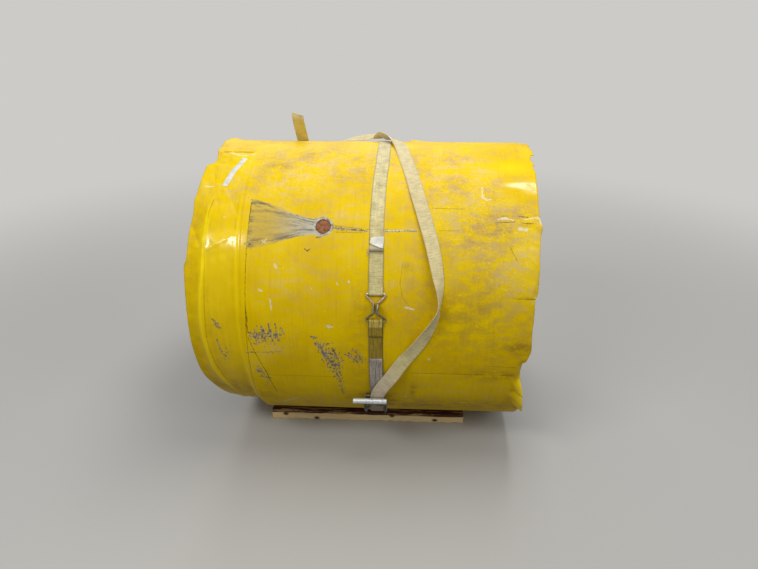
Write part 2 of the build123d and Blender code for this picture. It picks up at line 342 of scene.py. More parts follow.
# Marks on the paint, and lines of painted shade: from (x, angle) to (x, angle), with the half width at each
# end in mm
WORN_MARKS = [
    (25, 86, 29, 89.5, 5, 3), (50, 84.5, 52, 89, 5, 3), (75, 83.5, 76, 88.5, 7, 3), (98, 83.5, 104, 88, 5, 3),
    (117, 85, 128, 88, 6, 3), (8, 87, 12, 90, 5, 4), (217, 88, 234, 88.5, 8, 6), (243, 91.5, 262, 96, 9, 12),
    (262, 96, 292, 101.5, 13, 7), (289, 93, 304, 98, 11, 5), (264, 91, 290, 90.5, 5, 3),
    (330, 95, 350, 97, 4, 4), (350, 96, 372, 99, 5, 3), (362, 93.5, 384, 97, 3, 3),
    (309, 114, 312, 118.5, 5, 3), (-115, 82.5, -94, 86, 6, 5), (-110, 91, -98, 98, 5, 3),
    (-8, 95.5, 110, 94.8, 4, 2), (18, 103.5, 34, 105.5, 11, 9), (27, 107.5, 60, 108.5, 8, 5),
    (236, 52.5, 252, 52, 6, 4), (276, 48.6, 330, 49.2, 15, 9), (330, 49.2, 398, 49.6, 9, 8),
    (398, 49.6, 562, 49.3, 8, 6),
]
PALE_MARKS = [
    (100, 62.2, 104, 63.6, 6, 4), (48, 71.3, 58, 71.6, 5, 3), (84, 74.5, 87, 78.5, 5, 2),
    (221, 70.2, 222, 70.4, 3, 3), (345, 67.5, 346, 67.8, 4, 4), (306, 68.3, 308, 69, 3, 2),
    (276, 84, 288, 84, 8, 5), (614, 96.3, 616, 96.8, 4, 3), (536, 120, 541, 120, 5, 4),
    (78, 128.6, 138, 124.2, 5, 4), (54, 54.7, 67, 53.2, 2, 2), (54, 53.6, 67, 54.7, 2, 2),
    (783, 31, 782, 35, 3, 4), (782, 35.6, 797, 37, 6, 4), (797, 37, 812, 36.4, 3, 2),
    (899, 48, 922, 48.5, 9, 7), (-138, 10.5, -78, 13.9, 5, 4), (-78, 13.9, -25, 12.9, 4, 3),
    (828, 44.7, 853, 44.1, 4, 6), (853, 43.9, 880, 44.9, 6, 3), (914, 44.5, 962, 43.6, 2, 5),
    (962, 43.7, 972, 46.6, 5, 5), (400, 49.6, 566, 49.1, 2.2, 2.2), (530, 76.3, 558, 77, 4, 5),
    (-166, 31.6, -142, 31.9, 5, 4), (-82, 45, -76, 45.2, 3, 2),
]
# Dark scratches, and painted shade along the seam near x 0, beside a fold of the overhang, beside the crease
# near 44 degrees and under the step at 72.5 degrees
DARK_MARKS_AND_SEAM_SHADE = [
    (2, 89, 20, 95.4, 1.4, 1.4), (20, 95.4, 48, 104.5, 1.4, 1.7), (48, 104.5, 69, 117.7, 1.7, 2.2),
    (0, 77, 4, 83, 2.2, 3.5), (0, 83, 4, 87.3, 3, 2), (195, 56.4, 205, 57.3, 2, 3.4),
    (205, 57.3, 214, 56.4, 3.4, 2), (878, 72.5, 951, 72.6, 0.8, 2), (829, 45.8, 885, 45.5, 1.4, 1.8),
    (840, 43.3, 866, 43.2, 1.5, 1.2), (899, 43.3, 928, 43.6, 1.6, 1.8), (911, 45.9, 943, 46.2, 2.4, 1.8),
    (5, 37.7, 3, 56, 1.6, 1.6), (3, 56, 0, 77, 1.3, 1.3), (0, 77, -5, 99, 1.3, 1.5),
    (-5, 99, -9, 122, 1.5, 2), (-141, 46, -143, 56, 1.2, 1.2),
]
# Thin dark lines, mostly painted shade: along the folds of the overhang, along the creases at 40.5 and 103.7
# degrees, and round a dent near x 520
FAINT_MARKS_AND_FOLD_SHADE = [
    (555, 103.7, 903, 103.7, 1.6, 2.4), (808, 99.1, 906, 99.6, 1.2, 1.6), (613, 40.5, 726, 40.7, 1.7, 1.3),
    (636, 49.2, 702, 49.1, 1.3, 1.3), (868, 55, 889, 59.5, 2.2, 1.5), (-127, 38, -135, 44, 1.6, 2),
    (-135, 44, -141, 54, 2, 2.2), (-141, 54, -137, 63, 2.2, 2), (-137, 63, -140, 75, 2, 2),
    (-140, 75, -144, 91, 2, 1.6), (290, 47.8, 388, 49, 1.8, 1.4), (298, 50.3, 384, 50.4, 1.8, 1.4),
    (40, 106.6, 300, 106.8, 1.2, 1.2), (-144, 91, -133, 102, 1.6, 2), (-133, 102, -112, 114, 2, 2.4),
    (520, 61, 512, 67.8, 0.8, 1.2), (512, 67.8, 521, 72.9, 1.2, 1), (521, 72.9, 543, 75.8, 1, 0.8),
]

# Scuff in the shape of half a bow tie: its length in mm, and in degrees its middle, rise and half heights
BOW_LENGTH, BOW_MIDDLE, BOW_RISE, BOW_WIDE, BOW_NARROW = 235, 47.1, 1.4, 9.3, 2.9

# Middle of the rust spot
RUST_X, RUST_ANGLE = 254, 48.2


def dusty_coats(n, place, lines, cloud, patches, fleck, streak, dust, grime_and_shade):
    """Yellow, brushed and faded, with a veil of dust in patches, pale hairs and nicks, dirt together with
    painted shade, and specks.
    """
    brushed = n.noise(lines, 0.1, 4, 0.65)
    n.tone = n.mix(n.ramp(cloud, 0.3, 0.7), (238, 202, 0), (226, 188, 0))
    n.coat(n.ramp(brushed, 0.42, 0.75, 0, 0.32) * n.ramp(patches, 0.36, 0.6, 0.15, 1), (198, 156, 0))
    wiped = cloud * 0.2 + (patches * 0.9 + (streak * 0.16 + fleck * 0.12))
    veil = dust * n.ramp(wiped, 0.61, 0.81, 0.05, 1.1)
    veil = (veil * n.ramp(n.noise(place, 0.35, 3, 0.7), 0.25, 0.7, 0.8, 1.1)).clamped()
    n.coat(veil, n.mix(n.ramp(cloud, 0.4, 0.6), (226, 194, 118), (204, 168, 102)))
    hairs = n.ramp(abs(n.noise(place, 0.055, 5, 0.7, stretch=(0.7, 1, 1)) - 0.5), 0.012, 0.003)
    n.coat(hairs * n.ramp(dust, 0.25, 0.75, 0, 0.5), (250, 234, 160))
    n.coat(n.ramp(n.noise(place, 0.16, 2, stretch=(1, 0.4, 1)), 0.7, 0.74) * 0.5, (240, 226, 150))
    # Dark brown: dirt, and painted shade on the overhang's lip beyond the fold
    n.coat((grime_and_shade * n.ramp(patches * 0.7 + fleck * 0.3, 0.36, 0.6)).clamped(), (132, 100, 34))
    specks = n.ramp(n.noise(place, 0.09, 2, 0.5), 0.68, 0.76)
    n.coat(specks * n.ramp(dust, 0, 0.8, 0.25, 0.8), (168, 142, 84))


def bow_scuff(n, loose, fleck):
    """The scuff from the crease to the rust spot, with streaks that run together. Gives its dark streaks."""
    x, s, _ = n.split(loose)
    along = x / BOW_LENGTH
    half = n.ramp(along, -0.05, 1, BOW_WIDE * DEGREE, BOW_NARROW * DEGREE)
    side = (s - (along * (BOW_RISE * DEGREE) + BOW_MIDDLE * DEGREE)) / half
    off = abs(side)
    inside = n.ramp(off, 1.08, 0.92) * (n.ramp(x, 1, 7) * n.ramp(x, 262, 238))
    streaks = n.noise(n.join(x * 0.011, side * 4, 0), 1, 5, 0.7)
    rim = n.most(n.ramp(off, 0.3, 1, 0.18), n.ramp(along, 0.35, 0.9, 0, 0.85), n.ramp(x, 30, 8, 0, 0.7))
    film = n.mix(n.ramp(along, 0.25, 0.95), (196, 168, 84), (186, 184, 170))
    cover = n.ramp(streaks, 0.2, 0.5, 0.6, 1) * n.ramp(along, -0.1, 0.45, 0.75, 1)
    n.coat(inside * (cover * n.ramp(fleck, 0.3, 0.55, 0.6, 1)), film)
    bow = inside * rim * n.ramp(streaks, 0.44, 0.6, 0, 0.9)
    n.coat(bow, (106, 100, 88))
    n.coat(inside * rim * n.ramp(streaks, 0.4, 0.3, 0, 0.5), (220, 212, 180))
    return bow


def rust_spot(n, loose, fleck):
    """The rust spot, with a pale ring of bare metal round it."""
    hub = n.vector("DISTANCE", loose, (RUST_X, RUST_ANGLE * DEGREE, 0))
    n.coat(n.ramp(hub, 36, 31), n.mix(n.ramp(fleck, 0.35, 0.6), (126, 124, 112), (196, 196, 184)))
    rust = n.mix(n.ramp(fleck, 0.3, 0.7), (122, 72, 44), (166, 116, 82))
    n.coat(n.ramp(hub, 27.5, 24.5), n.mix(n.ramp(hub, 19, 25), rust, (104, 66, 44)))


def sheet_paint(name, group, region):
    """Yellow paint on sheet steel: glossy where it is clean, veiled with dust, and worn through in places,
    with painted shade along its seam, creases and folds and painted highlight on some ridges.
    """
    n = Finish(name)
    place = n.attribute("sheet")
    dust, grime_and_shade, gloss = n.split(n.attribute("zones"))
    # The wear attribute holds wear, then clean paint together with painted highlight
    wear, fresh_and_highlight, _ = n.split(n.attribute("wear"))
    coarse = n.noise(place, 0.09, 7, 0.72, output=1)
    loose = n.vector("ADD", place, n.scaled(n.vector("SUBTRACT", coarse, (0.5, 0.5, 0.5)), 14))
    loose = n.vector("MULTIPLY", loose, (1, 1, 0))
    lines = n.vector("MULTIPLY", place, (1, 0.05, 1))
    cloud = n.noise(place, 0.006, 3)
    patches = n.noise(place, 0.03, 4, 0.6, stretch=(0.7, 1, 1))
    fleck = n.noise(place, 0.11, 5, 0.7)
    streak = n.noise(place, 0.16, 4, 0.7, stretch=(0.25, 1, 1))
    dusty_coats(n, place, lines, cloud, patches, fleck, streak, dust, grime_and_shade)
    bow = bow_scuff(n, loose, fleck)

    near = n.vector("ADD", n.scaled(loose, 0.3), n.scaled(place, 0.7))
    smear = n.noise(place, 0.34, 5, 0.75, stretch=(1, 0.3, 1)) * 2.8
    scratches = n.noise(loose, 0.19, 3, 0.6, stretch=(1, 0.32, 1)) * 2.8
    worn = n.ramp(smear + strokes(n, group, loose, WORN_MARKS, region), 2.12, 2.28)
    worn = n.most(worn, n.ramp(wear * 0.65 + scratches, 2.06, 2.26))
    pale = n.ramp(fleck * 1.6 + strokes(n, group, loose, PALE_MARKS, region), 1.3, 1.7, 0, 0.8)
    # The next two masks are partly scratches and partly painted shade along the folds, the creases, the seam
    # and the step
    faint_and_fold_shade = n.ramp(fleck * 1.2 + strokes(n, group, near, FAINT_MARKS_AND_FOLD_SHADE, region), 1, 1.6, 0, 0.5)
    dark = n.ramp(fleck * 1.6 + strokes(n, group, near, DARK_MARKS_AND_SEAM_SHADE, region), 1.25, 1.75, 0, 0.8)
    tones = streak * 0.5 + fleck * 0.5
    n.coat(worn, n.mix(n.ramp(tones, 0.42, 0.58), (76, 74, 68), (180, 166, 142)))
    n.coat(pale, (232, 224, 194))
    n.coat(faint_and_fold_shade, (78, 56, 14))
    n.coat(dark, (62, 50, 20))
    rust_spot(n, loose, fleck)

    # Brighter lemon yellow: clean paint, and painted highlight on the torn tongue, the fold's ridge and the
    # bead
    n.coat(fresh_and_highlight * n.ramp(fleck, 0.3, 0.5, 0.6, 1), (255, 226, 8))
    underside = n.ramp(n.split(place)[2], 0.3, 0.7)
    n.coat(underside, n.mix(cloud, (176, 172, 158), (150, 146, 134)))
    n.set("Specular IOR Level", n.ramp(gloss, 0, 1, 0.05, 0.95))
    rough = n.ramp(n.noise(place, 0.02, 4, 0.6), 0.3, 0.7, 0.36, 0.48) * n.ramp(gloss, 0, 1, 1, 0.38)
    rough = dust * n.ramp(fleck, 0.3, 0.7, 0.1, 0.25) + rough
    rough = (rough + (worn + bow) * 0.2).clamped()
    return n.close(rough, (n.noise(place, 0.012, 2), 1.1), (n.noise(lines, 0.05, 3), 0.16), (fleck, 0.05))


def bare_steel():
    """Strip steel seen on edge and in the bore: thin lines between the turns, and a little rust."""
    n = Finish("coil_steel", Metallic=1)
    phase, place, side = n.split(n.attribute("turn"))
    spot = n.spot()
    cloud = n.noise(spot, 7, 5, 0.65)
    fine = n.noise(spot, 60, 4, 0.7)
    tone = n.noise(n.join(place * 0.9, 0, 0), 1, 4, 0.8)
    line = n.ramp(abs(phase - 0.5), 0.36, 0.5) * side
    n.tone = n.mix(n.ramp(tone, 0.3, 0.7), (128, 128, 126), (178, 177, 172))
    n.coat(n.ramp(cloud, 0.55, 0.8, 0, 0.5), (124, 96, 70))
    n.coat(line, (46, 44, 42))
    return n.close(n.ramp(fine * cloud, 0.1, 0.5, 0.3, 0.52), (line * -1, 0.7), (fine, 0.06))


# Colours along the webbing: (mm from its start, red, green, blue)
LONG_TONES = [
    (0, 232, 222, 196), (11, 228, 218, 186), (13, 120, 104, 64), (17, 120, 104, 64), (19, 246, 232, 164),
    (130, 242, 228, 160), (300, 252, 232, 160), (480, 255, 240, 180), (900, 248, 232, 178),
    (3400, 180, 160, 104),
]
TAIL_TONES = [
    (0, 130, 112, 98), (90, 205, 178, 152), (190, 255, 236, 200), (330, 255, 240, 172), (900, 244, 226, 172),
    (1300, 240, 222, 172), (2600, 250, 238, 184),
]
SHORT_TONES = [
    (0, 178, 150, 14), (34, 184, 156, 14), (40, 250, 222, 110), (66, 244, 214, 96), (74, 186, 156, 10),
    (330, 180, 150, 8), (372, 188, 176, 160), (470, 202, 190, 174), (560, 216, 206, 194),
]
TAIL_BACK = (255, 252, 236)

# Threads of the weave, in mm
WARP_PITCH, WEFT_PITCH = 2.3, 2.6


def webbing(name, tones, back=None, streaky=0.15, banded=0.4, edges=0.45, dirt=0.35):
    """Woven polyester with its colours along it, and back for the colour of the other face if it differs. It
    is darker towards both sides as painted shade.
    """
    n = Finish(name, Specular_IOR_Level=0.25, Sheen_Weight=0.2, Sheen_Roughness=0.5)
    across, along, face = n.split(n.attribute("strap"))
    place = n.join(across, along, face * 4)
    reach = tones[-1][0]
    ramp = n.node("ShaderNodeValToRGB", {0: along / reach})
    stops = ramp.color_ramp.elements
    while len(stops) < len(tones):
        stops.new(0.5)
    for stop, (at, *tone) in zip(stops, tones):
        stop.position = at / reach
        stop.color = colour(*tone)
    n.tone = Value(n, ramp.outputs[0])
    cloud = n.noise(place, 0.025, 3, 0.55)
    fleck = n.noise(place, 0.5, 4, 0.75)
    picks = n.noise(place, 0.3, 3, 0.7, stretch=(0.12, 1, 1))
    ends = n.noise(place, 0.4, 3, 0.7, stretch=(1, 0.05, 1))
    warp = n.math("SINE", across * (2 * math.pi / WARP_PITCH))
    weave = warp * n.math("SINE", along * (2 * math.pi / WEFT_PITCH))
    if back:
        n.coat(n.ramp(face, 0.1, -0.1), back)
    n.coat(n.ramp(cloud, 0.4, 0.7, 0, dirt), (140, 122, 84))
    n.coat(n.ramp(picks, 0.45, 0.7, 0, banded), (124, 106, 72))
    n.coat(n.ramp(ends, 0.45, 0.65, 0, streaky), (66, 56, 24))
    n.coat(n.ramp(fleck, 0.52, 0.72, 0, dirt), (104, 90, 62))
    n.coat(n.ramp(weave, -1, 0.2, dirt * 0.8, 0), (70, 60, 40))
    # Painted shade along both sides of the webbing
    n.coat(n.ramp(abs(across - STRAP_WIDTH / 2), 20, 23.5, 0, edges), (88, 76, 46))
    return n.close(n.ramp(fleck, 0.2, 0.8, 0.7, 0.92), (weave, 0.35), (picks, 0.8), (fleck, 0.3))


def zinc(name, light, dark, rusty, bright_round=None):
    """Plated steel fittings, dulled and a little rusty, but for a bar that hands keep bright."""
    n = Finish(name, Metallic=0.6)
    spot = n.spot()
    cloud = n.noise(spot, 110, 4, 0.65)
    fine = n.noise(spot, 300, 3, 0.7)
    n.tone = n.mix(n.ramp(cloud, 0.36, 0.62), dark, light)
    n.coat(n.ramp(n.noise(spot, 160, 5, 0.7), 0.54, 0.66, 0, rusty * 2), (112, 82, 56))
    if bright_round:
        off = n.vector("LENGTH", n.vector("MULTIPLY", n.vector("SUBTRACT", spot, bright_round), (0, 1, 1)))
        n.coat(n.ramp(off, 0.0112, 0.0104), n.mix(n.ramp(cloud, 0.4, 0.7), (222, 226, 228), (184, 188, 190)))
    return n.close(n.ramp(fine, 0.3, 0.7, 0.3, 0.5), (fine, 0.12), (cloud, 0.3))


# Knots in the front timber, (x, z) in metres
KNOTS = [(-0.345, 0.022), (-0.215, 0.012), (0.105, 0.030), (0.285, 0.014)]


def timber():
    """Rough-sawn softwood with long grain, knots and dirt, and dark brown painted shade along its top."""
    n = Finish("timber", Specular_IOR_Level=0.2)
    spot = n.spot()
    bent = n.vector("ADD", spot, n.scaled(n.noise(spot, 5, output=1), 0.03))
    grain = n.noise(bent, 1.6, 5, 0.7, stretch=(4, 60, 60))
    fibre = n.noise(spot, 1.5, 3, 0.7, stretch=(12, 300, 300))
    cloud = n.noise(spot, 9, 4, 0.6)
    n.tone = n.mix(n.ramp(grain, 0.3, 0.7), (255, 232, 172), (246, 206, 142))
    n.coat(n.ramp(fibre, 0.5, 0.8, 0, 0.25), (170, 112, 62))
    n.coat(n.ramp(cloud, 0.5, 0.8, 0, 0.25), (138, 104, 72))
    knots = 0
    for x, z in KNOTS:
        off = n.vector("DISTANCE", n.vector("MULTIPLY", bent, (0.7, 0, 1)), (0.7 * x + 0.011, 0, z + 0.015))
        knots = n.most(knots, n.ramp(off, 0.011, 0.004))
    n.coat(knots, (96, 58, 32))
    height = (cloud - 0.5) * 0.012 + n.split(spot)[2]
    # Dark brown along the top of each timber: painted shade of the coil above it
    top_shade = n.ramp(height, 0.029, 0.032) * n.ramp(grain, 0.62, 0.5, 0.5, 1)
    n.coat(top_shade, n.mix(n.ramp(fibre, 0.4, 0.7), (70, 38, 26), (104, 66, 44)))
    return n.close(0.82, (grain, 0.5), (fibre, 0.4))


def paper():
    """Glossy white label stock, a little yellowed, with a crease or two."""
    n = Finish("label_paper")
    spot = n.spot()
    cloud = n.noise(spot, 40, 4, 0.6)
    n.tone = n.mix(n.ramp(cloud, 0.35, 0.7), (228, 226, 216), (206, 202, 188))
    return n.close(n.ramp(cloud, 0.3, 0.7, 0.4, 0.6), (n.noise(spot, 120), 0.15))


# Colour of the empty room
BACKDROP = (204, 203, 200)


def plain_floor():
    """The floor: pale to the camera and in reflections, darker as a source of bounced light."""
    n = Finish("floor")
    shown = n.seen()
    far = n.ramp(n.vector("LENGTH", n.vector("MULTIPLY", n.spot(), (1, 1, 0))), 1.2, 4.5)
    n.tone = n.mix(shown, (122, 119, 114), (190, 188, 184))
    n.coat(far * shown, (0, 0, 0))
    n.set("Specular IOR Level", (1 - far) * 0.2)
    n.set("Emission Color", BACKDROP)
    n.set("Emission Strength", far * shown)
    return n.close(0.8)


def finished_mesh(name, vertices, faces, material, smooth=True, **attributes):
    """An object from points in metres and faces, with a vector for each point under each attribute's name."""
    mesh = bpy.data.meshes.new(name)
    mesh.from_pydata(np.asarray(vertices, float).tolist(), [], faces)
    mesh.update()
    for key, values in attributes.items():
        layer = mesh.attributes.new(key, "FLOAT_VECTOR", "POINT")
        layer.data.foreach_set("vector", np.asarray(values, np.float32).ravel())
    mesh.materials.append(material)
    if smooth:
        mesh.polygons.foreach_set("use_smooth", np.ones(len(mesh.polygons), bool))
    made = bpy.data.objects.new(name, mesh)
    bpy.context.scene.collection.objects.link(made)
    return made


def dress(piece, slot, *nodes):
    """Makes a piece ride with the part and lets it stand for CAD nodes, which it hides. Its slot is not used.
    """
    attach(piece, "root")
    if nodes:
        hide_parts(*nodes)
    return piece


# Wrap, edge by edge: (angle, mm)
LEFT_REACH = [
    (-30, 165), (-12, 168), (0, 168), (12, 163), (16, 156), (18.5, 158), (21, 184), (24, 187), (32, 190),
    (38, 196), (43, 192), (49, 198), (58, 201), (61, 202), (63, 210), (68, 209), (83, 208), (92, 209),
    (100, 206), (108, 203), (114, 198), (119, 188), (126, 172), (135, 160), (160, 150), (210, 156),
    (260, 172), (300, 180), (345, 166), (380, 168),
]
RIGHT_REACH = [
    (-30, 983), (-12, 985), (-5, 981), (2, 979), (12, 968), (16, 963), (18.3, 975), (19.2, 963), (23.3, 971),
    (26.7, 969), (33.5, 968), (41.6, 965), (45.6, 970), (48, 973), (51.6, 966), (58, 962), (62, 962),
    (69.7, 960), (72.2, 955), (72.7, 950), (81, 951), (83.4, 949), (87.4, 950), (92.5, 953), (96, 944),
    (99, 937), (102, 934), (105, 932), (107, 934), (108.5, 938), (111, 943), (116, 950), (121.8, 957),
    (130, 961), (160, 960), (200, 955), (240, 966), (255, 958), (262, 972), (300, 969), (330, 978),
    (380, 982),
]
DRAWN_IN_AT_CREASE = [
    (-20, 0), (60, 0), (80, 1.5), (95, 5), (108, 14), (120, 24), (135, 28), (180, 26), (220, 18), (260, 7),
    (300, 2), (340, 0), (380, 0),
]
DRAWN_IN_TO_EDGE = [
    (-20, -5), (0, -4), (15, 0), (40, 6), (90, 13), (120, 10), (180, 8), (270, 13), (320, 5), (345, -5),
    (380, -4),
]
FOLD_PLACE = [
    (30, 126), (38, 130), (43, 137), (48, 141), (54, 143), (62, 144), (68, 148), (75, 154), (83, 157),
    (90, 155), (97, 148), (106, 140), (114, 124), (125, 104), (150, 112), (230, 130), (300, 140), (380, 126),
]
FOLD_HEIGHT = [
    (30, 0), (40, 3), (54, 4), (62, 3), (75, 4), (95, 5), (106, 5), (118, 3), (130, 0), (200, 2), (240, 4),
    (300, 3), (345, 0),
]
FOLD_FALL = [
    (25, 0), (45, 4), (62, 3), (75, 7), (95, 8), (110, 6), (125, 3), (180, 4), (240, 6), (300, 4), (345, 0),
]
BEAD_PLACE = [
    (20, 36), (53, 34), (72, 30), (83, 30), (92, 28), (102, 22), (110, 17), (180, 20), (300, 32), (380, 36),
]
CREASE_PLACE = [
    (20, -6), (38, -5), (41, -2), (49, -4), (56, -3), (65, -1), (77, 0), (86, 2), (99, 5), (111, 6), (122, 9),
    (180, 8), (300, 0), (380, -5),
]
FREE_END, HIDDEN_END, LAP_CORNER = -12.6, 372, 545

# The sheet's grid: the angle past which it is coarser, the x past which its columns follow the ragged edge,
# and the number of columns on the left overhang
UNDERSIDE, FRAYED, LEFT_COLUMNS = 140, 850, 60

# Folds and dents in the overhang: height and width in mm, and (x, angle) of both ends
LEFT_FOLDS = [
    (-4, 6, (-146, 26), (-120, 38)), (-4, 6, (-120, 38), (-137, 46)), (-3.5, 7, (-137, 46), (-141, 63)),
    (4, 8, (-130, 57), (-45, 52)), (3.5, 8, (-196, 33), (-138, 32.5)), (-3.5, 7, (-199, 47), (-160, 55)),
    (3, 6, (-160, 55), (-210, 62)), (-3, 8, (-40, 44), (-100, 30)), (1.5, 6, (-160, 15), (-30, 13)),
    (-3, 7, (-150, 19), (-60, 20)), (-2.5, 6, (-190, 27), (-155, 21)),
]


def left_overhang_lift(x, angle):
    """How far the overhang past the steel's left end stands off the drum's line, in mm."""
    s = np.clip(-x, 0, None)
    lift = -follow(DRAWN_IN_AT_CREASE, angle) * ease(s / 38) - follow(DRAWN_IN_TO_EDGE, angle) * s / 200
    fold = s - follow(FOLD_PLACE, angle)
    lift += 2 * follow(FOLD_HEIGHT, angle) * np.exp(-np.abs(fold / 8) ** 1.6)
    lift -= 1.5 * follow(FOLD_FALL, angle) * ease(fold / 50)
    front = window(angle, 20, 128, 20) + window(angle, 215, 340, 20)
    bead = s - follow(BEAD_PLACE, angle)
    lift += front * (1.4 * bell(bead / 4.5) - 0.9 * bell((bead + 9) / 5) + 1.2 * bell((bead + 18) / 5))
    lift -= 1.3 * bell((-x - 2 - follow(CREASE_PLACE, angle)) / 2.6) * ease((angle - 30) / 10)
    crumpled = window(angle, 8, 60, 14) * ease((s - 15) / 40)
    lift += crumpled * (2.6 * ripple(x, angle * DEGREE, 90, 3) + 1.2 * ripple(x, angle * DEGREE, 34, 4))
    lift += ease(s / 60) * 0.8 * ripple(x, angle * DEGREE * 0.4, 60, 5)
    for height, width, start, end in LEFT_FOLDS:
        lift += height * crease(x, angle, start, end, width) * ease(s / 20)
    lift += 5 * ease((s - 120) / 40) * window(angle, -16, 4, 8)
    return lift


def flap(angle, low, high):
    """Rises in a straight line from 0 to 1 between two angles, and then drops sharply."""
    return np.clip((angle - low) / (high - low), 0, 1) * (1 - ease((angle - high) / 1.2))


def right_edge_lift(x, angle):
    """How far the wrap stands off the drum's line near its right edge, in mm."""
    lift = -12 * ease((x - 932) / 52) * (1 - ease(angle / 12)) * (angle < 40)
    lift -= 2.5 * crease(x, angle, (820, 44.1), (968, 43.9), 5)
    lift += 6 * hill(x, angle, 968, 47.6, 14, 1.6)
    lift -= 7 * ease((x - 962 + (angle - 61.8) * 2.9) / 26) * window(angle, 58, 72.5, 3) * (angle < 72.5)
    lift += 2.6 * ease((x - 868) / 80) * window(angle, 50, 72.5, 12) * (angle < 72.5)
    lift -= 2 * ease((x - 868) / 80) * window(angle, 72.5, 90, 14) * (angle >= 72.5)
    lift -= 0.7 * ease((x - 850) / 50) * bell((angle - 102.5) / 4.5)
    lift -= 26 * ease((x - 911) / 24) * np.exp(-(((angle - 102.7) / 4.6) ** 4))
    lift += 12 * ease((x - 908) / 40) * window(angle, 107.5, 124, 6)
    point = 918 - 24 * bell((angle - 115.5) / 2.2)
    lift += 38 * np.clip((x - 920) / 38, 0, 1) * flap(angle, 104, 111.5)
    lift += 28 * np.clip((x - point) / 40, 0, 1) * flap(angle, 112.7, 121)
    lift += 5 * crease(x, angle, (905, 107), (960, 118), 8) * ease((x - 895) / 15)
    lift -= 4 * crease(x, angle, (915, 113), (957, 112), 6)
    edge = ease((x - 900) / 60) * (1 - 0.8 * window(angle, 24, 42, 6))
    lift += edge * (1.8 * ripple(x * 0.5, angle * DEGREE, 70, 8) + 0.8 * ripple(x, angle * DEGREE, 26, 9))
    lift -= 2 * crease(x, angle, (985, 26.2), (890, 26.2), 5)
    return lift


def wrap_lift(x, angle):
    """How far the sheet's outer face stands off the drum's nominal face, in mm."""
    waves = 0.4 * np.tanh(ripple(x, angle * DEGREE, 260, 1)) + 0.12 * ripple(x, angle * DEGREE, 70, 2) - 0.5
    near_strap = window(x, STRAP_X - 60, STRAP_X + 60, 60)
    lapped = np.maximum(ease((angle - 332) / 6), ease((26 - angle) / 8))
    lift = waves * (1 - 0.8 * near_strap) * (1 - 0.9 * lapped)
    lift = lift + np.where(x < 8, left_overhang_lift(x, angle), 0)
    lift = lift + np.where(x > 760, right_edge_lift(x, angle), 0)
    lift -= 0.9 * crease(x, angle, (555, 103.7), (903, 103.7), 5)
    lift -= 0.6 * crease(x, angle, (613, 40.5), (726, 40.7), 4)
    return lift


def free_end(x):
    """Angle of the sheet's free end, which steps back at a torn corner."""
    return FREE_END - 11 * (1 - ease((x - LAP_CORNER + 8) / 10)) + 0.35 * ripple(x, 0 * x, 60, 21)


def wrap_grid():
    """Places on the sheet as x and angle: rows round the drum, finer in front, and columns across it."""
    rows = np.concatenate([np.arange(FREE_END, UNDERSIDE, 0.6), np.arange(UNDERSIDE, HIDDEN_END, 1.5)])
    corner = LAP_CORNER - np.array([13, 7, 2, -3])
    left, right = np.linspace(46, 515, 26), np.linspace(564, FRAYED, 17)
    middle = np.concatenate([np.linspace(3, 30, 7), left, corner, right])
    x = np.concatenate([
        -follow(LEFT_REACH, rows)[:, None] * (1 - np.linspace(0, 1, LEFT_COLUMNS)),
        np.repeat(middle[None], len(rows), 0),
        FRAYED + (follow(RIGHT_REACH, rows)[:, None] - FRAYED) * np.linspace(0.04, 1, 27),
    ], 1)
    angle = np.repeat(rows[:, None], x.shape[1], 1)
    near_end = np.clip(1 - np.arange(len(rows)) / 18, 0, 1)[:, None]
    return x, angle + near_end * (free_end(x) - FREE_END)


def lapped_lift(x, angle):
    """The sheet's lift, less where its hidden end is tucked in, and more on its free end and torn corner."""
    corner = 10 * np.exp(-np.clip(x - LAP_CORNER, 0, None) / 34) * ease((x - LAP_CORNER + 8) / 8)
    corner *= bell(np.clip(angle - FREE_END, 0, None) * DEGREE / 45)
    raised = 0.65 * ease((20 - angle) / 6) + corner
    return wrap_lift(x, angle) - 0.7 * ease((angle - 334) / 6) + raised * (angle < 60)


def make_wrap(group):
    """The wrap: one sheet, once round the drum and a little under its own free end, with its thickness."""
    wall = (WRAP_HIGH.z - COIL_HIGH.z) / MM - GAP
    x, angle = wrap_grid()
    columns = np.arange(x.shape[1])
    creased = (columns < LEFT_COLUMNS + 4) | (np.abs(x[0] - LAP_CORNER) < 60) | (x[0] > FRAYED)
    kept = (creased | (columns % 8 == 0)) & ((x[0] < FRAYED) | (columns % 2 == 0))
    inner = columns[kept]
    both = np.concatenate([columns, inner[::-1]])
    lift = lapped_lift(x, angle)[:, both]
    x, angle = x[:, both], angle[:, both]
    side = np.broadcast_to(np.arange(len(both)) >= len(columns), x.shape).astype(float)
    points = on_drum(x, angle, lift - wall * side)
    index = np.arange(x.size).reshape(x.shape)
    closed = np.concatenate([index, index[:, :1]], 1)
    quads = band(closed[:-1].T, closed[1:].T)
    for row, order in ((0, 1), (-1, -1)):
        outer_row, inner_row = np.split(index[row], [len(columns)])
        quads += end_strip(outer_row.tolist(), inner_row[::-1].tolist(), x[row], x[row, inner], order)
    sheet = np.stack([x, angle * DEGREE, side], -1).reshape(-1, 3)
    zones, wear = dirt_and_shading_zones(x, angle)
    paints = [sheet_paint("yellow_paint_%d" % i, group, region) for i, region in enumerate(REGIONS)]
    made = finished_mesh("wrap", points.reshape(-1, 3), quads, paints[0], sheet=sheet, zones=zones, wear=wear)
    for paint in paints[1:]:
        made.data.materials.append(paint)
    regions = np.searchsorted([low for low, _ in REGIONS[1:]], [np.mean(sheet[face, 0]) for face in quads])
    made.data.polygons.foreach_set("material_index", regions)
    return made


